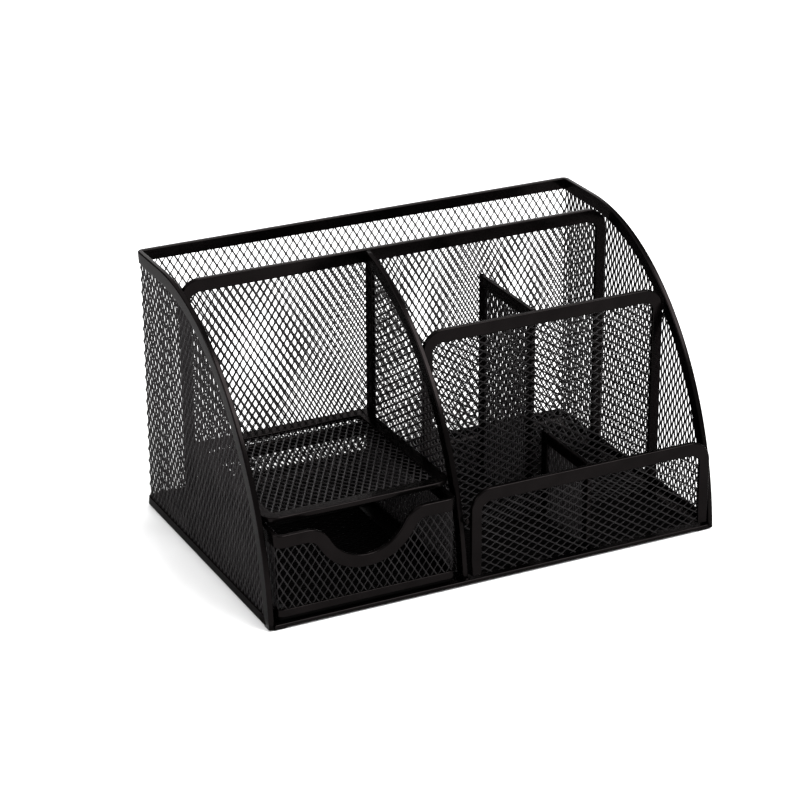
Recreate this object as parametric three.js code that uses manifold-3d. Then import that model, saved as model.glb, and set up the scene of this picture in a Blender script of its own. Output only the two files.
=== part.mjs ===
// Black steel-mesh desk organizer: letter slot, shelf over a sliding drawer, two cups and two bins.
// Millimetres. +Z is up, the front faces -Y, and the origin is the middle of the footprint.
// Every panel is a thin mesh sheet (drawn here as a plain sheet) whose edges sit in folded steel rims.
import * as THREE from 'three';
import { mergeVertices } from 'three/addons/utils/BufferGeometryUtils.js';
import Module from 'manifold-3d';

const wasm = await Module();
wasm.setup();

// ---------------------------------------------------------------- driving dimensions
const WIDTH = 222;
const DEPTH = 142;
const HEIGHT = 127;

const SHEET = 0.5; // thickness of a mesh sheet
const GAP = 0.3; // clearance between neighbouring pieces
const RIM_WALL = 0.4; // steel strip that the rims are folded from
const RIM = SHEET + 2 * GAP + 2 * RIM_WALL; // thickness of a folded rim
const RIM_WIDTH = 6.3; // how far a rim reaches over its sheet
const BACK_RIM_WIDTH = 5.5;
const POST_WIDTH = 5; // the same on the upright edges of the dividers
const EDGE_INSET = RIM_WALL + GAP; // a sheet's edge inside its rim
const OVERCUT = 1; // how far a rim's slot is cut past its open ends

const FOOT_SIZE = 9;
const FOOT_CORNER = 2.5;
const FOOT_HEIGHT = 0.6;
const FOOT_INSET = 0.5;

const BASE_Z = 0.7; // underside of the base rim
const BASE_TOP = BASE_Z + RIM;
const BAND_HEIGHT = 4.2; // hem that grips the lower edge of the shell
const PANEL_Z = BASE_TOP + GAP; // lower edge of the inner panels

// The sides follow a quarter ellipse from the top edge down to the front.
const CURVE = { centreY: 44, centreZ: -10.5, radiusY: 115, radiusZ: 137.5 };
const CURVE_STEPS = 22;
const CORNER_STEPS = 7;
const FOOT_STEPS = 4;

const SIDE_GAP = 0.9; // between the dividers and the side walls
const INNER_X = WIDTH / 2 - RIM - SIDE_GAP; // outer edge of the dividers
const DIVIDER_CORNER = 10;
const POST_CORNER = 4;
const PARTITION_CORNER = 1;
const REAR_DIVIDER = { y: 28.4, top: 125.8 };
const CUP_DIVIDER = { y: -24.5, top: 103.6, left: -15 };
const FRONT_PANEL = { y: -69.5, top: 45.4, left: -13.8, right: 107.9, bottom: 4.4 };
const MIDDLE_X = -16.6;
const PEN_PARTITION_X = 41.8;
const BIN_PARTITION = { x: 46.6, top: 45 };
const SHELF = { top: 47.8, front: -61, corner: 8 };

const DRAWER = { left: -107, right: -21, front: -70, back: 22, top: 44, bottom: 5.1 };
const DRAWER_RIM_WIDTH = 6;
const DRAWER_BAND = 3.6;
const DRAWER_FLOOR_INSET = 1.2;
const NOTCH = { depth: 17.4, bottomRadius: 20, shoulderRadius: 12 };

// ---------------------------------------------------------------- materials
const steel = () => new THREE.MeshStandardMaterial({ color: 0x1d1b1c, roughness: 0.45, metalness: 0.35 });
const mesh = () => new THREE.MeshStandardMaterial({ color: 0x272526, roughness: 0.55, metalness: 0.35 });
const rubber = () => new THREE.MeshStandardMaterial({ color: 0x131313, roughness: 0.9, metalness: 0 });

// ---------------------------------------------------------------- outlines, as lists of 2-D points
const point = (x, y) => new THREE.Vector2(x, y);

// Points on a circle from one angle to another, in degrees.
function arc(cx, cy, radius, from, to, steps = CORNER_STEPS) {
  const points = [];
  for (let i = 0; i <= steps; i++) {
    const angle = THREE.MathUtils.degToRad(from + ((to - from) * i) / steps);
    points.push(point(cx + radius * Math.cos(angle), cy + radius * Math.sin(angle)));
  }
  return points;
}

// An upside-down U with rounded upper corners, walked clockwise from its lower left end.
function archPath(left, right, bottom, top, corner) {
  return [
    point(left, bottom),
    ...arc(left + corner, top - corner, corner, 180, 90),
    ...arc(right - corner, top - corner, corner, 90, 0),
    point(right, bottom),
  ];
}

// A closed rectangle whose two lower (front) corners are rounded, walked clockwise.
function trayPath(left, right, front, back, corner) {
  return [
    point(left, back),
    point(right, back),
    ...arc(right - corner, front + corner, corner, 0, -90),
    ...arc(left + corner, front + corner, corner, -90, -180),
  ];
}

const boxPath = (left, right, low, high) => [
  point(left, low),
  point(left, high),
  point(right, high),
  point(right, low),
];

// The side curve in the Y-Z plane, from the height given up to the place given along Y.
function curvePath(fromZ, toY) {
  const start = Math.acos((fromZ - CURVE.centreZ) / CURVE.radiusZ);
  const end = Math.asin(Math.max(0, (CURVE.centreY - toY) / CURVE.radiusY));
  const points = [];
  for (let i = 0; i <= CURVE_STEPS; i++) {
    const angle = start + ((end - start) * i) / CURVE_STEPS;
    const y = CURVE.centreY - CURVE.radiusY * Math.sin(angle);
    const z = CURVE.centreZ + CURVE.radiusZ * Math.cos(angle);
    points.push(point(y, z));
  }
  return points;
}

// Moves an open path (or a closed one) sideways, to the right of its direction, with mitred corners.
function offsetPath(path, distance, closed = false) {
  const count = path.length;
  const normal = (a, b) => point(b.y - a.y, a.x - b.x).normalize();
  return path.map((here, i) => {
    const before = closed ? path[(i + count - 1) % count] : path[i - 1];
    const after = closed ? path[(i + 1) % count] : path[i + 1];
    const first = before ? normal(before, here) : normal(here, after);
    const second = after ? normal(here, after) : first;
    const bisector = first.clone().add(second).normalize();
    return here.clone().addScaledVector(bisector, distance / bisector.dot(second));
  });
}

// The same for a path that starts on the side curve: its first point keeps its height.
function levelOffset(path, distance) {
  const moved = offsetPath(path, distance);
  moved[0].y = path[0].y;
  return moved;
}

// The same open path with both ends drawn out in a straight line.
function extendPath(path, length) {
  const draw = (from, to) => to.clone().addScaledVector(to.clone().sub(from).normalize(), length);
  const last = path.length - 1;
  return [draw(path[1], path[0]), ...path, draw(path[last - 1], path[last])];
}

// ---------------------------------------------------------------- solids
// A flat plate of the outline given, centred on its own plane. Both paths are walked clockwise.
function plate(outline, thickness, hole) {
  const shape = new THREE.Shape(outline);
  if (hole) shape.holes.push(new THREE.Path(hole.toReversed()));
  const geometry = new THREE.ExtrudeGeometry(shape, { depth: thickness, bevelEnabled: false });
  return geometry.translate(0, 0, -thickness / 2);
}

function toSolid(geometry) {
  const bare = geometry.clone();
  bare.deleteAttribute('normal');
  bare.deleteAttribute('uv');
  const merged = mergeVertices(bare, 1e-4);
  const vertProperties = new Float32Array(merged.attributes.position.array);
  const triVerts = new Uint32Array(merged.index.array);
  return new wasm.Manifold(new wasm.Mesh({ numProp: 3, vertProperties, triVerts }));
}

function toGeometry(solid) {
  const { vertProperties, triVerts } = solid.getMesh();
  const geometry = new THREE.BufferGeometry();
  geometry.setAttribute('position', new THREE.BufferAttribute(vertProperties, 3));
  geometry.setIndex(new THREE.BufferAttribute(triVerts, 1));
  geometry.computeVertexNormals();
  return geometry;
}

const cut = (body, tool) => toGeometry(toSolid(body).subtract(toSolid(tool)));

// A rim folded over an open edge: a U section, with its slot open towards the inner path.
function openRim(outer, inner) {
  const slotOuter = extendPath(offsetPath(outer, RIM_WALL), OVERCUT);
  const slotInner = extendPath(offsetPath(inner, OVERCUT), OVERCUT);
  const flange = plate([...outer, ...inner.toReversed()], RIM);
  const slot = plate([...slotOuter, ...slotInner.toReversed()], SHEET + 2 * GAP);
  return cut(flange, slot);
}

// A rim folded over every edge of a panel.
function closedRim(outer, width) {
  const flange = plate(outer, RIM, offsetPath(outer, width, true));
  const slotHole = offsetPath(outer, width + OVERCUT, true);
  const slot = plate(offsetPath(outer, RIM_WALL, true), SHEET + 2 * GAP, slotHole);
  return cut(flange, slot);
}

// A straight rim: the outer edge runs from one end to the other, and the flanges lie to its right.
function straightRim(from, to, width) {
  const outer = [from, to];
  return openRim(outer, offsetPath(outer, width));
}

// The sheet that fills an open rim: its lower edge is bare.
const openSheet = (outer) => plate(offsetPath(outer, EDGE_INSET), SHEET);

// ---------------------------------------------------------------- placing
const organizer = new THREE.Group();
const X = new THREE.Vector3(1, 0, 0);
const Y = new THREE.Vector3(0, 1, 0);
const Z = new THREE.Vector3(0, 0, 1);
// A plate drawn in x and z, lying across the object: its normal is -Y.
const ACROSS = new THREE.Matrix4().makeBasis(X, Z, Y.clone().negate());
// A plate drawn in y and z, running front to back: its normal is +X.
const ALONG = new THREE.Matrix4().makeBasis(Y, Z, X);
const FLAT = new THREE.Matrix4();

function add(name, geometry, material, basis, x, y, z) {
  const piece = new THREE.Mesh(geometry, material);
  piece.name = name;
  piece.quaternion.setFromRotationMatrix(basis);
  piece.position.set(x, y, z);
  organizer.add(piece);
}

const addAcross = (name, geometry, material, y) => add(name, geometry, material, ACROSS, 0, y, 0);
const addAlong = (name, geometry, material, x) => add(name, geometry, material, ALONG, x, 0, 0);
const addFlat = (name, geometry, material, z) => add(name, geometry, material, FLAT, 0, 0, z);

// ---------------------------------------------------------------- base
const FRONT_Y = -DEPTH / 2;
const BACK_Y = DEPTH / 2;
const SIDE_X = WIDTH / 2 - RIM / 2; // middle plane of a side wall
const BAND_INNER_X = WIDTH / 2 - RIM - GAP;
const BAND_INNER_Y = BACK_Y - RIM - GAP;
const BAND_TOP = BASE_Z + BAND_HEIGHT;

function addBase() {
  const frame = boxPath(-BAND_INNER_X, BAND_INNER_X, FRONT_Y, BAND_INNER_Y);
  addFlat('base_rim', closedRim(frame, RIM_WIDTH), steel(), BASE_Z + RIM / 2);
  addFlat('base_mesh', plate(offsetPath(frame, EDGE_INSET, true), SHEET), mesh(), BASE_Z + RIM / 2);

  const sideBand = () => straightRim(point(BAND_INNER_Y, BASE_Z), point(FRONT_Y, BASE_Z), BAND_HEIGHT);
  const backBand = straightRim(point(WIDTH / 2, BASE_Z), point(-WIDTH / 2, BASE_Z), BAND_HEIGHT);
  addAlong('left_base_band', sideBand(), steel(), -SIDE_X);
  addAlong('right_base_band', sideBand(), steel(), SIDE_X);
  addAcross('back_base_band', backBand, steel(), BACK_Y - RIM / 2);

  const half = FOOT_SIZE / 2;
  const footX = WIDTH / 2 - FOOT_INSET - half;
  const footY = DEPTH / 2 - FOOT_INSET - half;
  const pad = () => {
    const reach = half - FOOT_CORNER;
    const outline = [
      ...arc(reach, reach, FOOT_CORNER, 0, 90, FOOT_STEPS),
      ...arc(-reach, reach, FOOT_CORNER, 90, 180, FOOT_STEPS),
      ...arc(-reach, -reach, FOOT_CORNER, 180, 270, FOOT_STEPS),
      ...arc(reach, -reach, FOOT_CORNER, 270, 360, FOOT_STEPS),
    ];
    return plate(outline, FOOT_HEIGHT);
  };
  for (const [end, sy] of [['front', -1], ['back', 1]]) {
    for (const [side, sx] of [['left', -1], ['right', 1]]) {
      add(`foot_${end}_${side}`, pad(), rubber(), FLAT, sx * footX, sy * footY, FOOT_HEIGHT / 2);
    }
  }
}

// ---------------------------------------------------------------- outer shell
function addShell() {
  const backEnd = point(BAND_INNER_Y, HEIGHT);
  const rimPath = [...curvePath(BAND_TOP + GAP, CURVE.centreY), backEnd];
  const sheetPath = [...curvePath(BASE_Z, CURVE.centreY), backEnd];
  const sheetTop = offsetPath(sheetPath, EDGE_INSET);
  const sheetFoot = BASE_Z + EDGE_INSET;
  const last = sheetTop.at(-1);
  const outline = [point(sheetTop[0].x, sheetFoot), ...sheetTop.slice(1), point(last.x, sheetFoot)];
  for (const [side, sx] of [['left', -1], ['right', 1]]) {
    addAlong(`${side}_side_mesh`, plate(outline, SHEET), mesh(), sx * SIDE_X);
    addAlong(`${side}_side_rim`, openRim(rimPath, levelOffset(rimPath, RIM_WIDTH)), steel(), sx * SIDE_X);
  }

  const half = WIDTH / 2;
  const backSheet = boxPath(-half + EDGE_INSET, half - EDGE_INSET, sheetFoot, HEIGHT - EDGE_INSET);
  const backRim = straightRim(point(-half, HEIGHT), point(half, HEIGHT), BACK_RIM_WIDTH);
  addAcross('back_mesh', plate(backSheet, SHEET), mesh(), BACK_Y - RIM / 2);
  addAcross('back_top_rim', backRim, steel(), BACK_Y - RIM / 2);
}

// ---------------------------------------------------------------- dividers that lie across
// A panel with rounded upper corners, rimmed along its top and both upright edges.
function addArchedPanel(name, { y, left, right, bottom, top }) {
  const outer = archPath(left, right, bottom, top, DIVIDER_CORNER);
  const inner = archPath(left + POST_WIDTH, right - POST_WIDTH, bottom, top - RIM_WIDTH, POST_CORNER);
  addAcross(`${name}_mesh`, openSheet(outer), mesh(), y);
  addAcross(`${name}_rim`, openRim(outer, inner), steel(), y);
}

function addCrossPanels() {
  addArchedPanel('rear_divider', { left: -INNER_X, right: INNER_X, bottom: PANEL_Z, ...REAR_DIVIDER });
  addArchedPanel('cup_divider', { right: INNER_X, bottom: PANEL_Z, ...CUP_DIVIDER });
  addArchedPanel('front_panel', FRONT_PANEL);
}

// ---------------------------------------------------------------- partitions that run front to back
const REAR_FACE = REAR_DIVIDER.y - RIM / 2 - GAP; // where pieces in front of the rear divider end

// A partition with square upper corners between two cross panels.
function addSquarePartition(name, x, front, back, top) {
  const corner = PARTITION_CORNER;
  const outer = archPath(front, back, PANEL_Z, top, corner);
  const inner = archPath(front + POST_WIDTH, back - POST_WIDTH, PANEL_Z, top - RIM_WIDTH, corner);
  addAlong(`${name}_mesh`, openSheet(outer), mesh(), x);
  addAlong(`${name}_rim`, openRim(outer, inner), steel(), x);
}

function addPartitions() {
  const curved = curvePath(PANEL_Z, REAR_FACE);
  const outer = [...curved, point(REAR_FACE, PANEL_Z)];
  const inner = levelOffset(outer, RIM_WIDTH);
  inner.splice(-3, 1); // the last step of the curve, which the offset takes past the rear corner
  addAlong('middle_partition_mesh', openSheet(outer), mesh(), MIDDLE_X);
  addAlong('middle_partition_rim', openRim(outer, inner), steel(), MIDDLE_X);

  const cupBack = CUP_DIVIDER.y + RIM / 2 + GAP;
  const cupFront = CUP_DIVIDER.y - RIM / 2 - GAP;
  const panelBack = FRONT_PANEL.y + RIM / 2 + GAP;
  addSquarePartition('pen_partition', PEN_PARTITION_X, cupBack, REAR_FACE, CUP_DIVIDER.top);
  addSquarePartition('bin_partition', BIN_PARTITION.x, panelBack, cupFront, BIN_PARTITION.top);
}

// ---------------------------------------------------------------- shelf over the drawer
function addShelf() {
  const right = MIDDLE_X - RIM / 2 - 2 * GAP;
  const outline = trayPath(-INNER_X, right, SHELF.front, REAR_FACE, SHELF.corner);
  const z = SHELF.top - RIM / 2;
  addFlat('shelf_mesh', plate(offsetPath(outline, EDGE_INSET, true), SHEET), mesh(), z);
  addFlat('shelf_rim', closedRim(outline, RIM_WIDTH), steel(), z);
}

// ---------------------------------------------------------------- drawer
// The top edge of the drawer's front: level, with a rounded dip in the middle for a finger.
function notchedTop(left, right, top) {
  const middle = (left + right) / 2;
  const { depth, bottomRadius, shoulderRadius } = NOTCH;
  const reach = bottomRadius + shoulderRadius; // between the centres of two arcs that meet
  const halfWidth = Math.sqrt(reach ** 2 - (reach - depth) ** 2);
  const turn = THREE.MathUtils.radToDeg(Math.asin(halfWidth / reach));
  const shoulderZ = top - shoulderRadius;
  const bottomZ = top - depth + bottomRadius;
  const leftShoulder = arc(middle - halfWidth, shoulderZ, shoulderRadius, 90, 90 - turn);
  const bowl = arc(middle, bottomZ, bottomRadius, 270 - turn, 270 + turn, 2 * CORNER_STEPS);
  const rightShoulder = arc(middle + halfWidth, shoulderZ, shoulderRadius, 90 + turn, 90);
  return [point(left, top), ...leftShoulder, ...bowl.slice(1, -1), ...rightShoulder, point(right, top)];
}

function addDrawer() {
  const { left, right, front, back, top, bottom } = DRAWER;
  const sheetLow = bottom + EDGE_INSET;
  const sheetHigh = top - EDGE_INSET;
  const sideFront = front + RIM + GAP;
  const sideBack = back - RIM - GAP;
  const frontY = front + RIM / 2;
  const backY = back - RIM / 2;
  const wallX = { left: left + RIM / 2, right: right - RIM / 2 };

  const edge = notchedTop(left, right, top);
  const sheetEdge = offsetPath(edge, EDGE_INSET).slice(1, -1);
  const sheetLeft = left + EDGE_INSET;
  const sheetRight = right - EDGE_INSET;
  const frontSheet = [
    point(sheetLeft, sheetLow),
    point(sheetLeft, sheetHigh),
    ...sheetEdge,
    point(sheetRight, sheetHigh),
    point(sheetRight, sheetLow),
  ];
  addAcross('drawer_front_mesh', plate(frontSheet, SHEET), mesh(), frontY);
  addAcross('drawer_front_rim', openRim(edge, offsetPath(edge, DRAWER_RIM_WIDTH)), steel(), frontY);

  const backSheet = boxPath(sheetLeft, sheetRight, sheetLow, sheetHigh);
  const backRim = straightRim(point(left, top), point(right, top), DRAWER_RIM_WIDTH);
  addAcross('drawer_back_mesh', plate(backSheet, SHEET), mesh(), backY);
  addAcross('drawer_back_rim', backRim, steel(), backY);

  const crossBand = () => straightRim(point(right, bottom), point(left, bottom), DRAWER_BAND);
  addAcross('drawer_front_band', crossBand(), steel(), frontY);
  addAcross('drawer_back_band', crossBand(), steel(), backY);

  for (const side of ['left', 'right']) {
    const sheet = boxPath(sideFront, sideBack, sheetLow, sheetHigh);
    const rim = straightRim(point(sideFront, top), point(sideBack, top), DRAWER_RIM_WIDTH);
    const band = straightRim(point(sideBack, bottom), point(sideFront, bottom), DRAWER_BAND);
    addAlong(`drawer_${side}_mesh`, plate(sheet, SHEET), mesh(), wallX[side]);
    addAlong(`drawer_${side}_rim`, rim, steel(), wallX[side]);
    addAlong(`drawer_${side}_band`, band, steel(), wallX[side]);
  }

  const inset = DRAWER_FLOOR_INSET;
  const floor = boxPath(left + inset, right - inset, front + inset, back - inset);
  const floorZ = bottom - GAP - RIM / 2;
  addFlat('drawer_floor_mesh', plate(offsetPath(floor, EDGE_INSET, true), SHEET), mesh(), floorZ);
  addFlat('drawer_floor_rim', closedRim(floor, RIM_WIDTH), steel(), floorZ);
}

addBase();
addShell();
addCrossPanels();
addPartitions();
addShelf();
addDrawer();

export default organizer;
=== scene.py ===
import math

import bmesh
import bpy
import numpy as np
from mathutils import Matrix, Vector
from mathutils.noise import fractal


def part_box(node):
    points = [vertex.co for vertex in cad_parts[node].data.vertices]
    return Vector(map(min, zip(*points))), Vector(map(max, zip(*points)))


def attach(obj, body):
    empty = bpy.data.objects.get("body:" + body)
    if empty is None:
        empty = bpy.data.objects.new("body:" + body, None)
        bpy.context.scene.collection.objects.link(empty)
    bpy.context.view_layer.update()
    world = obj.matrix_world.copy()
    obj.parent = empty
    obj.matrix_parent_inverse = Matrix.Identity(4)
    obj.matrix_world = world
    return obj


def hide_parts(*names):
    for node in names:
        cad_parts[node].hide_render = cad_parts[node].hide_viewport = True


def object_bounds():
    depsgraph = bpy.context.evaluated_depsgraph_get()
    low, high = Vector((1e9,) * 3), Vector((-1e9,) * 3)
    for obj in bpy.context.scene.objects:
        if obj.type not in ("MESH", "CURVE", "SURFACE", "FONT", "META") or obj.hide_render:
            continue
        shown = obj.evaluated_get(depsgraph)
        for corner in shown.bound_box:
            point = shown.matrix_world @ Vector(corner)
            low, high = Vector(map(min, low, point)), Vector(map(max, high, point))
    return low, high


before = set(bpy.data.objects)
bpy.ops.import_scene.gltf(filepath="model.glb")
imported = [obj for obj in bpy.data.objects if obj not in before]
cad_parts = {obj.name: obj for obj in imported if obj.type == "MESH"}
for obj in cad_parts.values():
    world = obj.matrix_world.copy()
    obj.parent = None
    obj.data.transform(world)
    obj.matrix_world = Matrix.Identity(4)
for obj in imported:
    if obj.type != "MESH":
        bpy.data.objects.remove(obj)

MM = 0.001
UP = np.array([0.0, 0.0, 1.0])


def plain(low, high):
    """Two corners as plain lists of numbers, in metres."""
    return [list(map(float, low)), list(map(float, high))]


def node_box(*nodes):
    """The lowest and highest corners of these CAD nodes together, in millimetres."""
    boxes = [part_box(node) for node in nodes]
    low = np.min([np.array(box[0]) for box in boxes], axis=0)
    high = np.max([np.array(box[1]) for box in boxes], axis=0)
    return low / MM, high / MM


CAD_BOX = plain(*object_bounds())
LOW, HIGH = (np.array(corner) / MM for corner in CAD_BOX)

# ---------------------------------------------------------------- sizes shared with the CAD model
RIM = 1.9  # thickness of a folded rim
RIM_WIDTH = 6.3
BACK_RIM_WIDTH = 5.5
POST_WIDTH = 5.0
DIVIDER_CORNER = 10.0
SHELF_CORNER = 8.0
DRAWER_RIM_WIDTH = 6.0
DRAWER_BAND = 3.6
CURVE_Y = 44.0  # where the straight top edge of a side turns into its quarter ellipse
CURVE_Z = -10.5  # height of that ellipse's centre
CURVE_RADIUS_Y = 115.0
CURVE_RADIUS_Z = HIGH[2] - CURVE_Z
NOTCH_DEPTH = 17.4
NOTCH_BOTTOM = 20.0  # radii of the finger notch
NOTCH_SHOULDER = 12.0


# ---------------------------------------------------------------- flat outlines
PATH_STEP = 8.0  # longest step along a straight rim
HEM_STEP = 6.0  # the same along the shell's hem
FINE_STEP = 4.0  # the same along the shell's upper edge and beside the finger notch
BEND_STEPS = 8  # steps round each bent corner of a sheet


def arc(cx, cy, radius, start, end, steps=10):
    """Points on a circle from one angle to another, in degrees."""
    angle = np.radians(np.linspace(start, end, steps + 1))
    return np.stack([cx + radius * np.cos(angle), cy + radius * np.sin(angle)], axis=1)


def side_curve(from_z, to_y, steps=48):
    """The side's edge from a height at the front up to a place along y."""
    start = math.acos((from_z - CURVE_Z) / CURVE_RADIUS_Z)
    end = math.asin(max(0.0, (CURVE_Y - to_y) / CURVE_RADIUS_Y))
    angle = np.linspace(start, end, steps + 1)
    y = CURVE_Y - CURVE_RADIUS_Y * np.sin(angle)
    z = CURVE_Z + CURVE_RADIUS_Z * np.cos(angle)
    return np.stack([y, z], axis=1)


def curve_depth(y, z):
    """About how far a place lies inside the curve of the sides."""
    share = np.hypot(np.maximum(CURVE_Y - y, 0) / CURVE_RADIUS_Y, (z - CURVE_Z) / CURVE_RADIUS_Z)
    return (1 - share) * CURVE_RADIUS_Y


def inward(path, closed=False, lap=0.0):
    """Unit steps to the right of a path's direction, lengthened at its corners as a mitre needs.

    lap is how far s has run by the time a path that goes round a closed wall is back at its start.
    """
    step = np.roll(path, -1, axis=0) - path
    step[-1, 0] += lap
    step /= np.linalg.norm(step, axis=1)[:, None]
    right = np.stack([step[:, 1], -step[:, 0]], axis=1)
    if not closed:
        right[-1] = right[-2]
    before = np.roll(right, 1, axis=0)
    if not closed:
        before[0] = right[0]
    middle = right + before
    middle /= np.linalg.norm(middle, axis=1)[:, None]
    return middle / np.sum(middle * right, axis=1)[:, None]


def densify(path, most=PATH_STEP, closed=False):
    """The same path with no step longer than most."""
    ends = np.roll(path, -1, axis=0) if closed else path[1:]
    pieces = []
    for start, end in zip(path, ends):
        count = max(1, math.ceil(np.linalg.norm(end - start) / most))
        pieces.append(start + (end - start) * (np.arange(count) / count)[:, None])
    if not closed:
        pieces.append(path[-1:])
    return np.concatenate(pieces)


# ---------------------------------------------------------------- surfaces
class Flat:
    """A flat panel: s and t run along two axes from an origin."""

    def __init__(self, origin, along_s, along_t):
        self.origin = np.array(origin, float)
        self.along_s = np.array(along_s, float)
        self.along_t = np.array(along_t, float)

    def at(self, s, t):
        """Places, the two directions and the normal at flat coordinates s and t."""
        s, t = np.asarray(s, float)[:, None], np.asarray(t, float)[:, None]
        one = np.ones_like(s)
        place = self.origin + s * self.along_s + t * self.along_t
        normal = np.cross(self.along_s, self.along_t)
        return place, one * self.along_s, one * self.along_t, one * normal


class Wall:
    """An upright sheet bent along a plan: s is the distance along the plan, and t is the height.

    marks are the distances at the plan's ends and at the points of its bends. A closed plan starts
    at its first bend, and its last mark is the first one again.
    """

    def __init__(self, plan, radius, closed=False):
        plan = np.array(plan, float)
        count = len(plan)
        heading = [math.atan2(*(plan[(i + 1) % count] - plan[i])[::-1]) for i in range(count)]
        points, headings = [], []
        if not closed:
            points.append(plan[:1])
            headings.append([heading[0]])
        for i in range(count) if closed else range(1, count - 1):
            turn = (heading[i] - heading[i - 1] + math.pi) % (2 * math.pi) - math.pi
            reach = radius * math.tan(abs(turn) / 2)
            side = math.copysign(1, turn)
            angle = heading[i - 1] + turn * np.linspace(0, 1, BEND_STEPS + 1)
            first = plan[i] - reach * np.array([math.cos(heading[i - 1]), math.sin(heading[i - 1])])
            centre = first + side * radius * np.array([-math.sin(angle[0]), math.cos(angle[0])])
            points.append(centre + side * radius * np.stack([np.sin(angle), -np.cos(angle)], axis=1))
            headings.append(angle)
        if closed:
            points.append(points[0][:1])
            headings.append(headings[0][:1])
        else:
            points.append(plan[-1:])
            headings.append([heading[-2]])
        self.points = np.concatenate(points)
        self.headings = np.unwrap(np.concatenate(headings))
        steps = np.linalg.norm(np.diff(self.points, axis=0), axis=1)
        self.marks = np.concatenate([[0], np.cumsum(steps)])
        self.length = self.marks[-1]
        self.closed = closed

    def at(self, s, t):
        """Places, the two directions and the normal at a distance along the plan and a height."""
        s, t = np.asarray(s, float), np.asarray(t, float)
        if self.closed:
            s = s % self.length
        heading = np.interp(s, self.marks, self.headings)
        x = np.interp(s, self.marks, self.points[:, 0])
        y = np.interp(s, self.marks, self.points[:, 1])
        tangent = np.stack([np.cos(heading), np.sin(heading), 0 * heading], axis=1)
        up = np.tile(UP, (len(s), 1))
        return np.stack([x, y, t], axis=1), tangent, up, np.cross(tangent, up)


# ---------------------------------------------------------------- meshes
def signed_volume(places, faces):
    """Six times the volume that these four-cornered faces enclose."""
    a, b, c, d = (places[faces[:, i]] for i in range(4))
    first = np.einsum("ij,ij->", a, np.cross(b, c))
    return first + np.einsum("ij,ij->", a, np.cross(c, d))


def make_piece(name, places, faces, caps, body, material, replaced):
    """A smooth mesh object that rides on a body and stands for the CAD nodes named."""
    turned = signed_volume(places, faces) < 0
    order = slice(None, None, -1) if turned else slice(None)
    polygons = [list(map(int, face[order])) for face in faces]
    polygons += [list(map(int, cap[order])) for cap in caps]
    data = bpy.data.meshes.new(name)
    data.from_pydata((places * MM).tolist(), [], polygons)
    data.polygons.foreach_set("use_smooth", [True] * len(data.polygons))
    data.update()
    piece = bpy.data.objects.new(name, data)
    bpy.context.scene.collection.objects.link(piece)
    data.materials.append(material)
    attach(piece, body)
    if replaced:
        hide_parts(*replaced)
    return piece


def keep_flats(piece):
    """Weights the normals by face area, so that flats stay flat beside their small roundings."""
    weigh = piece.modifiers.new("keep_flats", "WEIGHTED_NORMAL")
    weigh.keep_sharp = True
    weigh.weight = 80


# ---------------------------------------------------------------- folded rims
FOLD = 2.5  # thickness of a rim along its fold, 0.3 proud of the CAD rim's faces; the floors keep RIM
CORNER = 0.6  # outer rounding of a folded edge
SLOT = 0.95  # inner width of the fold
HEM = 0.35  # rounding of the fold's two free edges
PINCH = 0.25  # how far the free edges are pressed in
NARROWING = 0.08  # how much that narrows each half of the slot
SETBACK = 0.4  # how far the slot's mouth lies behind the rounding of the free edges
SLOT_END = CORNER + 0.2  # where the slot ends, behind the fold


def rim_section(width, fold_thickness):
    """The section of a rim: (reach over the sheet, height over the sheet's middle)."""
    half = fold_thickness / 2
    edge = half - PINCH
    fold = arc(CORNER, half - CORNER, CORNER, 180, 90, 5)
    lip = arc(width - HEM, edge - HEM, HEM, 90, -35, 4)
    slot = np.array([[width - HEM - SETBACK, SLOT / 2 - NARROWING], [SLOT_END, SLOT / 2]])
    upper = np.concatenate([fold, lip, slot])
    lower = upper[::-1] * [1, -1]
    return np.concatenate([upper, lower])


def add_rim(name, surface, path, widths, body, replaced, closed=False, material=None,
            fold_thickness=FOLD):
    """A folded rim swept along a path on a surface, reaching over the sheet to the path's right."""
    path = np.asarray(path, float)
    widths = np.broadcast_to(widths, len(path))
    lap = getattr(surface, "length", 0.0) if closed else 0.0
    reach = inward(path, closed, math.copysign(lap, path[1, 0] - path[0, 0]))
    places, along_s, along_t, normal = surface.at(path[:, 0], path[:, 1])
    into = reach[:, :1] * along_s + reach[:, 1:] * along_t
    sections = np.stack([rim_section(width, fold_thickness) for width in widths])
    rings = places[:, None] + sections[..., :1] * into[:, None] + sections[..., 1:] * normal[:, None]
    count, sides = rings.shape[:2]
    i = np.arange(count if closed else count - 1)[:, None]
    j = np.arange(sides)[None]
    after, beside = (i + 1) % count, (j + 1) % sides
    faces = np.stack(np.broadcast_arrays(i * sides + j, i * sides + beside,
                                         after * sides + beside, after * sides + j), axis=-1)
    ring = np.arange(sides)
    caps = [] if closed else [ring[::-1], ring + (count - 1) * sides]
    piece = make_piece(name, rings.reshape(-1, 3), faces.reshape(-1, 4), caps, body,
                       material or STEEL, replaced)
    keep_flats(piece)
    return piece


# ---------------------------------------------------------------- expanded mesh
STRAND = 0.74  # width of a strand in the right side, the shelf and the two small partitions
BACK_STRAND = 0.9  # the same in the back and the cup divider
DIVIDER_STRAND = 0.98  # the same in the rear divider and the middle partition
FLOOR_STRAND = 1.0  # the same in the floors, cut wide so that their strands close and their darker coat stands for the shade under them
FRONT_STRAND = 0.66  # the same in the drawer's walls and the front panel
LEFT_STRAND = 0.56  # the same in the left side
GAUGE = 0.38  # thickness of the sheet that the mesh is cut from
TILT = math.radians(-38)  # how far the strands lean out of the sheet
FLOOR_TILT = math.radians(50)  # the same in the floors
BOND = 0.75  # length of the joint between two strands


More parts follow.
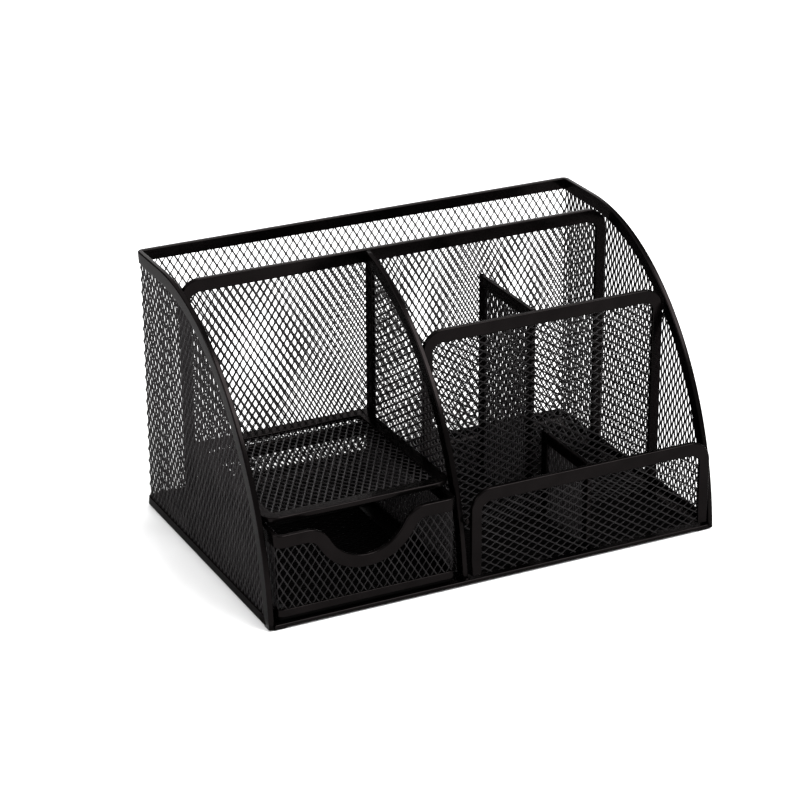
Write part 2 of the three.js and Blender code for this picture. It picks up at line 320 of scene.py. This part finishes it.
def add_mesh(name, surfaces, body, replaced, material=None):
    """Expanded mesh on one or more surfaces, each given as keyword values of expanded()."""
    rings = [ring for values in surfaces for ring in expanded(**values)]
    places, faces, caps, start = [], [], [], 0
    for ring in rings:
        count = len(ring)
        i = np.arange(count - 1)[:, None] * 4
        j = np.arange(4)[None]
        beside = (j + 1) % 4
        quads = np.stack(np.broadcast_arrays(i + j, i + beside, i + 4 + beside, i + 4 + j), axis=-1)
        faces.append(quads.reshape(-1, 4) + start)
        caps += [np.array([3, 2, 1, 0]) + start, np.arange(4) + start + (count - 1) * 4]
        places.append(ring.reshape(-1, 3))
        start += count * 4
    return make_piece(name, np.concatenate(places), np.concatenate(faces), caps, body,
                      material or MESH, replaced)


def expanded(surface, rows, span, long, bond, inside, upright=True, tilt=TILT, strand=STRAND):
    """The strands of one sheet, each as rings of four corners.

    rows are the places of the strands across the sheet, span is how far they run, long is the
    length of a diamond along them, bond is where the first two strands meet, and inside gives how
    far a place lies within the sheet's outline. Strands run along t when upright, else along s.
    """
    lift = strand / 2 * math.sin(tilt)
    spread = strand / 2 * math.cos(tilt)
    wide = np.array([math.cos(tilt), math.sin(tilt)]) * strand / 2
    deep = np.array([-math.sin(tilt), math.cos(tilt)]) * GAUGE / 2
    ring = np.stack([wide + deep, -wide + deep, -wide - deep, wide - deep])
    first = math.floor((span[0] - bond) / (long / 2)) - 1
    last = math.ceil((span[1] - bond) / (long / 2)) + 1
    count = np.arange(first, last + 1)
    v = (bond + count[:, None] * long / 2 + np.array([-BOND / 2, BOND / 2])).reshape(-1)
    found = []
    for k in range(1, len(rows) - 1):
        towards_next = (count + k) % 2 == 0
        u_next = (rows[k] + rows[k + 1]) / 2 - spread
        u_last = (rows[k] + rows[k - 1]) / 2 + spread
        u = np.repeat(np.where(towards_next, u_next, u_last), 2)
        height = np.repeat(np.where(towards_next, -lift, lift), 2)
        line = np.stack([u, v, height], axis=1)
        for run in clipped(line, inside, upright):
            across = run[:, None, 0] + ring[None, :, 0]
            heights = run[:, None, 2] + ring[None, :, 1]
            ahead = np.repeat(run[:, 1:2], 4, axis=1)
            s, t = (across, ahead) if upright else (ahead, across)
            place, _, _, normal = surface.at(s.reshape(-1), t.reshape(-1))
            found.append((place + heights.reshape(-1, 1) * normal).reshape(-1, 4, 3))
    return found


def clipped(line, inside, upright):
    """The runs of a (u, v, height) line that lie inside an outline."""
    depth = inside(*(line[:, [0, 1]].T if upright else line[:, [1, 0]].T))
    runs, current = [], []
    for i in range(len(line)):
        if i and (depth[i] > 0) != (depth[i - 1] > 0):
            share = depth[i - 1] / (depth[i - 1] - depth[i])
            current.append(line[i - 1] + share * (line[i] - line[i - 1]))
            if depth[i] <= 0:
                runs.append(np.array(current))
                current = []
        if depth[i] > 0:
            current.append(line[i])
    if len(current) > 1:
        runs.append(np.array(current))
    return [run for run in runs if len(run) > 1]


def rows_between(low, high, short, bond):
    """Places of the strands across a sheet, two for each diamond, with one to spare at each end."""
    first = math.floor((low - bond) / (short / 2)) - 1
    first -= first % 2  # the strand just before the bond is an even one
    last = math.ceil((high - bond) / (short / 2)) + 2
    return bond - short / 4 + np.arange(first, last + 1) * short / 2


def eased_rows(low, high, shorts, turn, bond):
    """The same for a sheet stretched unevenly: its pitch changes from shorts[0] to shorts[1] at turn."""
    before, after = shorts[0] / 2, shorts[1] / 2
    at_turn = (turn - bond) / before
    at_low = at_turn - (turn - low) / before
    at_high = at_turn + (high - turn) / after
    first = math.floor(at_low) - 2
    first -= first % 2
    wanted = np.arange(first, math.ceil(at_high) + 3) - 0.5
    rows = np.interp(wanted, [at_low, at_turn, at_high], [low, turn, high])
    rows = np.where(wanted < at_low, low + (wanted - at_low) * before, rows)
    return np.where(wanted > at_high, high + (wanted - at_high) * after, rows)


def closed_rows(wall, short, bond):
    """The same for a wall that closes on itself, with its pitch eased so that its ends meet."""
    diamonds = round(wall.length / short)
    half = wall.length / diamonds / 2
    return bond - half / 2 + np.arange(-2, 2 * diamonds) * half


def arch_depth(s, t, left, right, low, high, corner):
    """How far a place lies inside a panel with rounded upper corners."""
    depth = np.minimum.reduce([s - left, right - s, t - low, high - t])
    over = np.maximum(left + corner - s, s - (right - corner))
    above = t - (high - corner)
    rounding = corner - np.hypot(over, above)
    return np.where((over > 0) & (above > 0), np.minimum(depth, rounding), depth)


# ---------------------------------------------------------------- materials
MOTTLE = 90  # scale of the colour's slow change, per metre
SHEEN = 240  # scale of the roughness's change
GREY_EDGE = (0.5, 0.5, 0.5, 1)  # reflections at a low angle are half as strong as on bare metal


def new_material(name):
    material = bpy.data.materials.new(name)
    material.use_nodes = True
    return material, material.node_tree.nodes, material.node_tree.links


def noise(nodes, links, place, scale, detail=2.0):
    texture = nodes.new("ShaderNodeTexNoise")
    texture.inputs["Scale"].default_value = scale
    texture.inputs["Detail"].default_value = detail
    links.new(place.outputs["Object"], texture.inputs["Vector"])
    return texture.outputs["Fac"]


def ramp(nodes, links, value, low, high):
    """Maps the middle of a noise to the range from low to high."""
    between = nodes.new("ShaderNodeMapRange")
    between.inputs["From Min"].default_value = 0.3
    between.inputs["From Max"].default_value = 0.7
    between.inputs["To Min"].default_value = low
    between.inputs["To Max"].default_value = high
    links.new(value, between.inputs["Value"])
    return between.outputs["Result"]


def coated(name, dark, light, rough, specular, grain, depth, metallic=0.0):
    """Slightly mottled black with a fine orange-peel texture.

    grain is the scale of that texture, per metre, and depth is its height in metres.
    """
    material, nodes, links = new_material(name)
    shader = nodes["Principled BSDF"]
    place = nodes.new("ShaderNodeTexCoord")
    colour = nodes.new("ShaderNodeMix")
    colour.data_type = "RGBA"
    colour.inputs["A"].default_value = (*dark, 1)
    colour.inputs["B"].default_value = (*light, 1)
    links.new(ramp(nodes, links, noise(nodes, links, place, MOTTLE), 0, 1), colour.inputs["Factor"])
    links.new(colour.outputs["Result"], shader.inputs["Base Color"])
    links.new(ramp(nodes, links, noise(nodes, links, place, SHEEN), *rough), shader.inputs["Roughness"])
    shader.inputs["Specular IOR Level"].default_value = specular
    shader.inputs["Metallic"].default_value = metallic
    shader.inputs["Specular Tint"].default_value = GREY_EDGE
    bump = nodes.new("ShaderNodeBump")
    bump.inputs["Strength"].default_value = 0.5
    bump.inputs["Distance"].default_value = depth
    links.new(noise(nodes, links, place, grain, 3.0), bump.inputs["Height"])
    links.new(bump.outputs["Normal"], shader.inputs["Normal"])
    return material


STEEL = coated("powder_coated_steel", dark=(0.005, 0.0043, 0.0043), light=(0.0066, 0.0056, 0.0056),
               rough=(0.18, 0.24), specular=0.03, grain=1800, depth=0.00001, metallic=0.9)
# A darker copy of the powder coat: painted shade for the drawer's floor and its rim, which lie in the
# drawer's shadow.
SHADED_STEEL = coated("powder_coated_steel_painted_shade", dark=(0.0007, 0.0006, 0.0006),
                      light=(0.0012, 0.001, 0.001), rough=(0.3, 0.4), specular=0.025,
                      grain=1800, depth=0.00004)
MESH = coated("steel_mesh", dark=(0.0095, 0.0085, 0.0089), light=(0.016, 0.0145, 0.015),
              rough=(0.3, 0.4), specular=0.13, grain=2600, depth=0.00002)
# A darker copy of the mesh: painted shade for the floors of the base and the drawer, low in the
# organizer's shadow.
SHADED_MESH = coated("steel_mesh_painted_shade", dark=(0.0007, 0.0006, 0.0006), light=(0.0014, 0.0012, 0.0012),
                   rough=(0.3, 0.4), specular=0.02, grain=2600, depth=0.00002)
RUBBER = coated("foot_rubber", dark=(0.006, 0.006, 0.006), light=(0.012, 0.012, 0.012),
                rough=(0.75, 0.9), specular=0.2, grain=1200, depth=0.00006)


# ---------------------------------------------------------------- outer shell
INSET = 1.0  # how far a sheet's edge lies inside the outer edge of its rim
SHELL_BEND = 2.0
WIDENING = 12.0  # length over which the rim narrows from the sides' width to the back's
BEND_MARGIN = 1.5  # how far past a bend the mesh of a side runs before the back's takes over
SIDE_X = float(np.mean([box[0] for box in node_box("right_side_mesh")]))
BACK_Y = float(np.mean([box[1] for box in node_box("back_mesh")]))
BASE_Z, BAND_TOP = (corner[2] for corner in node_box("left_base_band"))

shell = Wall([(-SIDE_X, LOW[1]), (-SIDE_X, BACK_Y), (SIDE_X, BACK_Y), (SIDE_X, LOW[1])], SHELL_BEND)
LEFT_BEND = shell.marks[1:BEND_STEPS + 2]
RIGHT_BEND = shell.marks[BEND_STEPS + 2:2 * BEND_STEPS + 3]
BACK_START = LEFT_BEND[-1]  # where the back's flat part begins and ends
BACK_END = shell.length - BACK_START


def shell_y(s):
    """The place along y of a distance along the shell's sides."""
    return LOW[1] + np.minimum(s, shell.length - s)


def shell_depth(s, t):
    """How far a place on the shell lies inside its sheet's outline."""
    return np.minimum(curve_depth(shell_y(s), t) - INSET, t - (BASE_Z + INSET))


def add_shell():
    """The sheet round the sides and the back, the rim along its upper edge and the hem below."""
    curve = side_curve(BASE_Z, CURVE_Y)
    up = np.stack([curve[:, 0] - LOW[1], curve[:, 1]], axis=1)
    down = np.stack([shell.length - up[::-1, 0], up[::-1, 1]], axis=1)
    level = np.concatenate([
        np.arange(up[-1, 0] + FINE_STEP, LEFT_BEND[0] - 1, FINE_STEP), LEFT_BEND,
        np.linspace(BACK_START, BACK_END, 40)[1:-1],
        RIGHT_BEND, np.arange(RIGHT_BEND[-1] + FINE_STEP, down[0, 0] - 1, FINE_STEP),
    ])
    top = np.stack([level, np.full(len(level), HIGH[2])], axis=1)
    path = np.concatenate([up, top, down])
    from_back = np.maximum(BACK_START - path[:, 0], path[:, 0] - BACK_END)
    widths = BACK_RIM_WIDTH + (RIM_WIDTH - BACK_RIM_WIDTH) * np.clip(from_back / WIDENING, 0, 1)
    add_rim("shell_rim", shell, path, widths, "organizer",
            ["left_side_rim", "back_top_rim", "right_side_rim"])

    rows = rows_between(0, shell.length, short=3.835, bond=shell.length / 2 + 2.4)
    left, right = (int(np.searchsorted(rows, s)) for s in (BACK_START - BEND_MARGIN,
                                                           BACK_END + BEND_MARGIN))
    left -= left % 2
    right -= right % 2
    sheet = dict(surface=shell, span=(BASE_Z, HIGH[2]), long=6.0, bond=115.93, inside=shell_depth)
    add_mesh("shell_mesh", [dict(sheet, rows=rows[:left + 2], strand=LEFT_STRAND),
                            dict(sheet, rows=rows[left:right + 2], strand=BACK_STRAND),
                            dict(sheet, rows=rows[right:])], "organizer",
             ["left_side_mesh", "back_mesh", "right_side_mesh"])

    hem_front = up[0, 0] + RIM_WIDTH - 1
    hem_back = shell.length - hem_front
    hem_s = np.concatenate([
        np.arange(hem_front, LEFT_BEND[0] - 1, HEM_STEP), LEFT_BEND,
        np.linspace(BACK_START, BACK_END, 30)[1:-1],
        RIGHT_BEND, np.arange(RIGHT_BEND[-1] + HEM_STEP, hem_back, HEM_STEP), [hem_back],
    ])
    hem = np.stack([hem_s[::-1], np.full(len(hem_s), BASE_Z)], axis=1)
    add_rim("base_band", shell, hem, BAND_TOP - BASE_Z, "organizer",
            ["left_base_band", "back_base_band", "right_base_band"])


add_shell()


# ---------------------------------------------------------------- base
FLOOR_LONG = 6.1  # diamonds of the base and the drawer's floor
FLOOR_SHORT = 3.9
FOOT_CORNER = 2.5
FOOT_SOFT = 0.25  # rounding of a foot's lower edge
FOOT_LAP = 0.08  # how far a foot reaches into the base rim


def box_path(low, high, corner):
    """A closed rectangle with rounded corners, walked clockwise."""
    left, front = low[0], low[1]
    right, back = high[0], high[1]
    return np.concatenate([
        arc(left + corner, front + corner, corner, 270, 180),
        arc(left + corner, back - corner, corner, 180, 90),
        arc(right - corner, back - corner, corner, 90, 0),
        arc(right - corner, front + corner, corner, 0, -90),
    ])


def level_surface(low, high):
    """The middle height of a level panel's box: s runs along x and t along y."""
    return Flat((0, 0, (low[2] + high[2]) / 2), (1, 0, 0), (0, 1, 0))


def add_flat_panel(name, corner, bond, body, material):
    """A level panel with a rim all round."""
    low, high = node_box(f"{name}_rim")
    surface = level_surface(low, high)
    path = densify(box_path(low, high, corner), closed=True)
    add_rim(f"{name}_edge", surface, path, RIM_WIDTH, body, [f"{name}_rim"], closed=True,
            material=material, fold_thickness=RIM)

    def inside(s, t):
        return np.minimum.reduce([s - low[0], high[0] - s, t - low[1], high[1] - t]) - INSET

    rows = rows_between(low[1], high[1], FLOOR_SHORT, bond[0])
    # The floor's mesh takes the darker copy of the mesh, as painted shade.
    add_mesh(f"{name}_sheet", [dict(surface=surface, rows=rows, span=(low[0], high[0]),
                                    long=FLOOR_LONG, bond=bond[1], inside=inside, upright=False,
                                    tilt=FLOOR_TILT, strand=FLOOR_STRAND)], body,
             [f"{name}_mesh"], SHADED_MESH)


def add_foot(name):
    """A rubber pad under a corner of the base, given as rings at four levels."""
    low, high = node_box(name)
    middle = (low + high) / 2
    size = (high - low)[0]
    levels = [(0.0, FOOT_SOFT), (FOOT_SOFT * 0.4, FOOT_SOFT * 0.32), (FOOT_SOFT, 0.0),
              (high[2] + FOOT_LAP, 0.0)]
    rings = []
    for z, shrink in levels:
        half = size / 2 - shrink
        ring = box_path(middle[:2] - half, middle[:2] + half, FOOT_CORNER - shrink)
        rings.append(np.column_stack([ring, np.full(len(ring), z)]))
    places = np.concatenate(rings)
    sides = len(rings[0])
    i = np.arange(len(rings) - 1)[:, None] * sides
    j = np.arange(sides)[None]
    beside = (j + 1) % sides
    faces = np.stack(np.broadcast_arrays(i + j, i + beside, i + sides + beside, i + sides + j), axis=-1)
    caps = [np.arange(sides)[::-1], np.arange(sides) + (len(rings) - 1) * sides]
    piece = make_piece(f"{name}_pad", places, faces.reshape(-1, 4), caps, "organizer",
                       RUBBER, [name])
    keep_flats(piece)


add_flat_panel("base", corner=0.6, bond=(-48.41, 17.05), body="organizer", material=STEEL)
for foot in ("foot_front_left", "foot_front_right", "foot_back_left", "foot_back_right"):
    add_foot(foot)


# ---------------------------------------------------------------- dividers that lie across
RUN_ON = 0.8  # how far an arched panel's mesh runs on below its rim


def add_arched_panel(name, short, long, bond, upright, tilt, strand):
    """A panel across the organizer with round upper corners.

    short may be a pair: the diamonds' width to the left and to the right of the middle partition.
    """
    low, high = node_box(f"{name}_rim")
    surface = Flat((0, (low[1] + high[1]) / 2, 0), (1, 0, 0), (0, 0, 1))
    left, right, bottom, top = low[0], high[0], low[2], high[2]
    corner = DIVIDER_CORNER
    path = np.concatenate([
        densify(np.array([[left, bottom], [left, top - corner]]))[:-1],
        arc(left + corner, top - corner, corner, 180, 90, 14),
        densify(np.array([[left + corner, top], [right - corner, top]]))[1:-1],
        arc(right - corner, top - corner, corner, 90, 0, 14),
        densify(np.array([[right, top - corner], [right, bottom]]))[1:],
    ])
    share = np.clip((path[:, 1] - (top - corner)) / corner, 0, 1)
    widths = POST_WIDTH + (RIM_WIDTH - POST_WIDTH) * share
    add_rim(f"{name}_edge", surface, path, widths, "organizer", [f"{name}_rim"])

    def inside(s, t):
        return arch_depth(s, t, left + INSET, right - INSET, bottom - RUN_ON, top - INSET,
                          corner - INSET)

    lows, highs = ((left, bottom - 1), (right, top)) if upright else ((bottom - 1, left), (top, right))
    if isinstance(short, tuple):
        turn = float(np.mean([box[0] for box in node_box("middle_partition_rim")]))
        rows = eased_rows(lows[0], highs[0], short, turn, bond[0])
    else:
        rows = rows_between(lows[0], highs[0], short, bond[0])
    add_mesh(f"{name}_sheet", [dict(surface=surface, rows=rows, span=(lows[1], highs[1]), long=long,
                                    bond=bond[1], inside=inside, upright=upright, tilt=tilt,
                                    strand=strand)],
             "organizer", [f"{name}_mesh"])


add_arched_panel("rear_divider", short=(3.58, 3.442), long=5.96, bond=(-58.53, 86.66), upright=True,
                 tilt=TILT, strand=DIVIDER_STRAND)
add_arched_panel("cup_divider", short=3.79, long=6.01, bond=(73.64, 45.89), upright=False,
                 tilt=-TILT, strand=BACK_STRAND)
add_arched_panel("front_panel", short=3.87, long=6.05, bond=(21.87, 47.08), upright=False,
                 tilt=-TILT, strand=FRONT_STRAND)


# ---------------------------------------------------------------- partitions that run front to back
def add_partition(name, path, widths, row_span, short, **sheet):
    """An upright panel from front to back; sheet holds further values of expanded()."""
    low, high = node_box(f"{name}_rim")
    surface = Flat(((low[0] + high[0]) / 2, 0, 0), (0, 1, 0), (0, 0, 1))
    add_rim(f"{name}_edge", surface, path, widths, "organizer", [f"{name}_rim"])
    across, along = sheet.pop("bond")
    rows = rows_between(*row_span, short, across)
    add_mesh(f"{name}_sheet", [dict(surface=surface, rows=rows, bond=along, **sheet)],
             "organizer", [f"{name}_mesh"])


def add_square_partition(name, bond):
    """A partition whose upper corners are almost square."""
    low, high = node_box(f"{name}_rim")
    front, back, bottom, top = low[1], high[1], low[2], high[2]
    corner = 1.2
    path = np.concatenate([
        densify(np.array([[front, bottom], [front, top - corner]]))[:-1],
        arc(front + corner, top - corner, corner, 180, 90, 5),
        densify(np.array([[front + corner, top], [back - corner, top]]))[1:-1],
        arc(back - corner, top - corner, corner, 90, 0, 5),
        densify(np.array([[back, top - corner], [back, bottom]]))[1:],
    ])

    def inside(s, t):
        return np.minimum.reduce([s - front - INSET, back - INSET - s, t - bottom, top - INSET - t])

    widths = np.where(path[:, 1] > top - 0.5, BACK_RIM_WIDTH, POST_WIDTH)
    add_partition(name, path, widths, (front, back), short=3.7, long=6.0, bond=bond,
                  span=(bottom, top), inside=inside)


def add_middle_partition():
    """The partition whose edge follows the curve of the sides."""
    name = "middle_partition"
    low, high = node_box(f"{name}_rim")
    back, bottom = high[1], low[2]
    curve = side_curve(bottom, back)
    post = densify(np.array([curve[-1], [back, bottom]]))
    path = np.concatenate([curve, post[1:]])

    def inside(s, t):
        return np.minimum.reduce([curve_depth(s, t) - INSET, back - INSET - s, t - bottom])

    add_partition(name, path, RIM_WIDTH, (bottom, curve[-1, 1]), short=3.6, long=5.94,
                  bond=(72.49, -2.78), span=(curve[0, 0], back), inside=inside, upright=False,
                  strand=DIVIDER_STRAND)


add_middle_partition()
add_square_partition("pen_partition", bond=(0.0, 50.0))
add_square_partition("bin_partition", bond=(-40.0, 20.0))


# ---------------------------------------------------------------- shelf
def add_shelf():
    """The shelf: a level panel whose front corners are round."""
    low, high = node_box("shelf_rim")
    surface = level_surface(low, high)
    corner = SHELF_CORNER
    path = densify(np.concatenate([
        [[low[0], high[1]], [high[0], high[1]]],
        arc(high[0] - corner, low[1] + corner, corner, 0, -90, 12),
        arc(low[0] + corner, low[1] + corner, corner, -90, -180, 12),
    ]), closed=True)
    add_rim("shelf_edge", surface, path, RIM_WIDTH, "organizer", ["shelf_rim"], closed=True)

    def inside(s, t):
        return arch_depth(s, -t, low[0] + INSET, high[0] - INSET, -high[1] + INSET,
                          -low[1] - INSET, corner - INSET)

    rows = rows_between(low[0], high[0], 3.55, -62.41)
    add_mesh("shelf_sheet", [dict(surface=surface, rows=rows, span=(low[1], high[1]), long=6.0,
                                  bond=-16.94, inside=inside, upright=True, tilt=TILT)],
             "organizer", ["shelf_mesh"])


add_shelf()


# ---------------------------------------------------------------- weld beads
PANEL_BEAD = (0.8, 0.9, 1.5)  # half sizes
POST_BEAD = (0.8, 1.0, 1.4)
SMALL_BEAD = (1.1, 1.0, 0.6)
SHELF_BEAD = (0.8, 1.4, 0.9)


def add_beads(name, beads, body):
    """Small lumps of weld metal, each with its place and its half sizes along the axes."""
    mesh = bmesh.new()
    for seed, (place, half) in enumerate(beads, 1):
        lump = bmesh.ops.create_icosphere(mesh, subdivisions=3, radius=1.0)["verts"]
        for vertex in lump:
            wave = fractal(vertex.co * 1.4 + Vector((seed * 7.3, 0, 0)), 0.8, 2.0, 3)
            vertex.co *= 1 + 0.28 * wave
            vertex.co = (Vector(place) + Vector(map(lambda a, b: a * b, vertex.co, half))) * MM
    data = bpy.data.meshes.new(name)
    mesh.to_mesh(data)
    mesh.free()
    data.polygons.foreach_set("use_smooth", [True] * len(data.polygons))
    piece = bpy.data.objects.new(name, data)
    bpy.context.scene.collection.objects.link(piece)
    data.materials.append(STEEL)
    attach(piece, body)


def add_welds():
    """The beads where panels meet, a little outside their boxes."""
    panel_low, panel_high = node_box("front_panel_rim")
    cup_low, cup_high = node_box("cup_divider_rim")
    rear_low, rear_high = node_box("rear_divider_rim")
    middle_low, middle_high = node_box("middle_partition_rim")
    bin_low, bin_high = node_box("bin_partition_rim")
    pen_low, pen_high = node_box("pen_partition_rim")
    shelf_low, shelf_high = node_box("shelf_rim")
    middle_x = (middle_low[0] + middle_high[0]) / 2
    post_x = (middle_high[0] + panel_low[0]) / 2
    behind_panel = panel_high[1] + 0.3
    panel_weld = panel_high[2] - DIVIDER_CORNER - 5
    cup_weld = cup_high[2] - DIVIDER_CORNER - 4
    rear_weld = rear_high[2] - DIVIDER_CORNER - 4
    bin_x, pen_x = (float(low[0] + RIM / 2) for low in (bin_low, pen_low))
    beads = [
        ((post_x, behind_panel, panel_weld), (1.3, 0.9, 1.5)),
        ((middle_x + 0.5, panel_low[1] + 0.5, panel_low[2] - 1.5), (1.3, 0.8, 0.8)),
        ((panel_high[0] + 0.2, behind_panel, panel_weld), PANEL_BEAD),
        ((bin_x, behind_panel + 1.0, bin_high[2] - 0.2), (1.3, 1.7, 0.8)),
        ((bin_x, cup_low[1] - 0.2, bin_high[2] - 0.5), SMALL_BEAD),
        ((pen_x - 0.4, cup_high[1] + 0.4, pen_high[2] - 0.4), (1.3, 1.3, 0.8)),
        ((pen_x, rear_low[1] - 0.2, pen_high[2] - 0.5), SMALL_BEAD),
        ((middle_high[0] + 0.2, cup_low[1] + 0.9, cup_weld), POST_BEAD),
        ((cup_high[0] + 0.3, cup_low[1] + 0.9, cup_weld), POST_BEAD),
        ((rear_low[0] - 0.2, rear_low[1] + 0.9, rear_weld), POST_BEAD),
        ((rear_high[0] + 0.2, rear_low[1] + 0.9, rear_weld), POST_BEAD),
        ((middle_x, rear_low[1] - 0.1, middle_high[2] - 1.0), (1.2, 0.9, 1.0)),
        ((shelf_low[0] - 0.1, shelf_low[1] + 20, shelf_low[2] + 0.9), SHELF_BEAD),
        ((shelf_high[0] + 0.1, shelf_low[1] + 20, shelf_low[2] + 0.9), SHELF_BEAD),
    ]
    add_beads("weld_beads", beads, "organizer")


add_welds()


# ---------------------------------------------------------------- drawer
DRAWER_BEND = 2.6
DRAWER_INSET = 1.4  # how far the walls' mesh lies below the outer edge of the notched rim
SIDES = ("front", "right", "back", "left")
DRAWER_LOW, DRAWER_HIGH = node_box(*(f"drawer_{side}_mesh" for side in SIDES),
                                   *(f"drawer_{side}_rim" for side in SIDES),
                                   *(f"drawer_{side}_band" for side in SIDES))


def notch_path(left, right, top):
    """The top edge of the drawer's front, from left to right."""
    middle = (left + right) / 2
    between = NOTCH_BOTTOM + NOTCH_SHOULDER
    half = math.sqrt(between**2 - (between - NOTCH_DEPTH) ** 2)
    turn = math.degrees(math.asin(half / between))
    shoulder, bottom = top - NOTCH_SHOULDER, top - NOTCH_DEPTH + NOTCH_BOTTOM
    return np.concatenate([
        densify(np.array([[left, top], [middle - half, top]]), FINE_STEP)[:-1],
        arc(middle - half, shoulder, NOTCH_SHOULDER, 90, 90 - turn, 12),
        arc(middle, bottom, NOTCH_BOTTOM, 270 - turn, 270 + turn, 28)[1:-1],
        arc(middle + half, shoulder, NOTCH_SHOULDER, 90 + turn, 90, 12),
        densify(np.array([[middle + half, top], [right, top]]), FINE_STEP)[1:],
    ])


def stretches(marks):
    """Places between these marks along a wall, none more than a step from the next."""
    return [np.linspace(start, end, max(2, math.ceil((end - start) / PATH_STEP) + 1))
            for start, end in zip(marks[:-1], marks[1:])]


def add_drawer():
    """The drawer's walls, bent from one sheet, with the notched rim above and the hem below."""
    low, high = DRAWER_LOW + RIM / 2, DRAWER_HIGH - RIM / 2
    bottom, top = DRAWER_LOW[2], DRAWER_HIGH[2]
    plan = [(low[0], low[1]), (high[0], low[1]), (high[0], high[1]), (low[0], high[1])]
    wall = Wall(plan, DRAWER_BEND, closed=True)
    to_s = wall.marks[BEND_STEPS] - (low[0] + DRAWER_BEND)  # from x along the front to s

    front = notch_path(low[0] + DRAWER_BEND, high[0] - DRAWER_BEND, top)
    front[:, 0] += to_s
    past_front = np.concatenate([part[1:] for part in stretches(wall.marks[BEND_STEPS + 1:])])
    first_bend = wall.marks[:BEND_STEPS] + wall.length
    rest = np.concatenate([past_front[:-1], first_bend])
    path = np.concatenate([front, np.stack([rest, np.full(len(rest), top)], axis=1)])
    add_rim("drawer_edge", wall, path, DRAWER_RIM_WIDTH, "drawer",
            [f"drawer_{side}_rim" for side in SIDES], closed=True)

    level = np.concatenate([part[:-1] for part in stretches(wall.marks)])
    hem = np.stack([level[::-1], np.full(len(level), bottom)], axis=1)
    add_rim("drawer_band", wall, hem, DRAWER_BAND, "drawer",
            [f"drawer_{side}_band" for side in SIDES], closed=True)

    def inside(s, t):
        edge = np.interp(s % wall.length, front[:, 0], front[:, 1], left=top, right=top)
        return np.minimum(edge - DRAWER_INSET - t, t - bottom - INSET)

    rows = closed_rows(wall, 3.777, -63.93 + to_s)
    add_mesh("drawer_walls", [dict(surface=wall, rows=rows, span=(bottom, top), long=6.0,
                                   bond=13.72, inside=inside, strand=FRONT_STRAND)], "drawer",
             [f"drawer_{side}_mesh" for side in SIDES])


add_drawer()
# The drawer's floor and its rim take the darker copy of the coat, as painted shade.
add_flat_panel("drawer_floor", corner=1.5, bond=(0.0, -60.0), body="drawer", material=SHADED_STEEL)


# ---------------------------------------------------------------- floor, light and camera
def add_floor():
    size = 12.0
    data = bpy.data.meshes.new("floor")
    data.from_pydata([(-size, -size, 0), (size, -size, 0), (size, size, 0), (-size, size, 0)], [],
                     [(0, 1, 2, 3)])
    floor = bpy.data.objects.new("floor", data)
    bpy.context.scene.collection.objects.link(floor)
    material, nodes, _ = new_material("pale_floor")
    shader = nodes["Principled BSDF"]
    shader.inputs["Base Color"].default_value = (0.9, 0.9, 0.9, 1)
    shader.inputs["Roughness"].default_value = 0.9
    shader.inputs["Specular IOR Level"].default_value = 0.1
    data.materials.append(material)


def add_light(name, place, size, power, target=(0, 0, 0.05)):
    """A round softbox: its place and size in metres and its power in watts."""
    data = bpy.data.lights.new(name, "AREA")
    data.shape = "DISK"
    data.size = size
    data.energy = power
    light = bpy.data.objects.new(name, data)
    light.location = place
    light.rotation_euler = (Vector(target) - Vector(place)).to_track_quat("-Z", "Y").to_euler()
    bpy.context.scene.collection.objects.link(light)


def add_camera():
    """A camera at an azimuth, elevation and distance from its aim, with a small roll."""
    azimuth, elevation, roll = math.radians(-26.253), math.radians(23.651), math.radians(-0.254)
    distance = 1.260535
    aim = Vector((-0.01384, 0, 0.06151))
    back = Vector((math.sin(azimuth) * math.cos(elevation), -math.cos(azimuth) * math.cos(elevation),
                   math.sin(elevation)))
    right = Vector((math.cos(azimuth), math.sin(azimuth), 0))
    up = back.cross(right)
    turned_right = right * math.cos(roll) + up * math.sin(roll)
    turned_up = up * math.cos(roll) - right * math.sin(roll)
    data = bpy.data.cameras.new("camera")
    data.sensor_width = 36
    data.lens = 125.15
    camera = bpy.data.objects.new("camera", data)
    matrix = Matrix((turned_right, turned_up, back)).transposed().to_4x4()
    matrix.translation = aim + back * distance
    camera.matrix_world = matrix
    bpy.context.scene.collection.objects.link(camera)
    bpy.context.scene.camera = camera


def add_world(strength):
    world = bpy.data.worlds.new("studio")
    world.use_nodes = True
    world.node_tree.nodes["Background"].inputs["Color"].default_value = (1, 1, 1, 1)
    world.node_tree.nodes["Background"].inputs["Strength"].default_value = strength
    bpy.context.scene.world = world


add_floor()
add_light("key", (0.88, -0.88, 1.85), 1.5, 66)
add_light("left_fill", (-1.8, 0.35, 1.0), 1.3, 26)
add_light("overhead", (0.0, 1.2, 2.0), 2.0, 14)
add_light("back_edge", (1.2, 2.5, 1.2), 1.5, 34)
add_world(0.74)
add_camera()
bpy.context.scene.view_settings.view_transform = "Standard"
